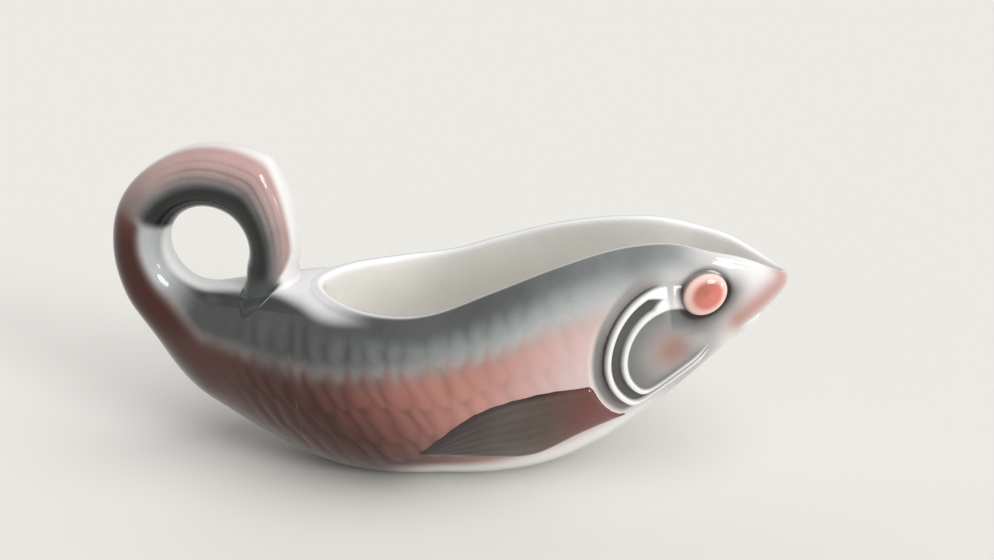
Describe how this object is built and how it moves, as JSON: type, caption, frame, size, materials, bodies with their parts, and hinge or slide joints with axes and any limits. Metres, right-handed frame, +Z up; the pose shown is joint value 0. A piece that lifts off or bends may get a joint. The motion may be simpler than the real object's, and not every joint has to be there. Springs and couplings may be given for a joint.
{
  "type": "fish-shaped gravy boat",
  "caption": "Glazed earthenware gravy boat in the form of a fish: open bowl in the back, beak that pours, curled tail as the handle, applied eyes, gill covers and fins.",
  "frame": {"origin": "on the table, under the middle of the boat's overall length and width", "axes": "+Z up, +X towards the pouring beak, +Y to the fish's left"},
  "size_m": [0.2396, 0.0788, 0.1212],
  "materials": {
    "body_glaze": "gloss glaze over sprayed grey, pink and white",
    "tail_glaze": "gloss glaze over sprayed pink and grey",
    "eye_glaze": "gloss glaze over salmon pink",
    "gill_glaze": "gloss glaze over grey, ridges left white",
    "fin_glaze": "gloss glaze over brown grey"
  },
  "bodies": {
    "root": {"boat_body": "body_glaze", "tail_handle": "tail_glaze", "right_eye": "eye_glaze", "left_eye": "eye_glaze", "right_gill_cover": "gill_glaze", "left_gill_cover": "gill_glaze", "right_pectoral_fin": "fin_glaze", "left_pectoral_fin": "fin_glaze"}
  },
  "joints": []
}
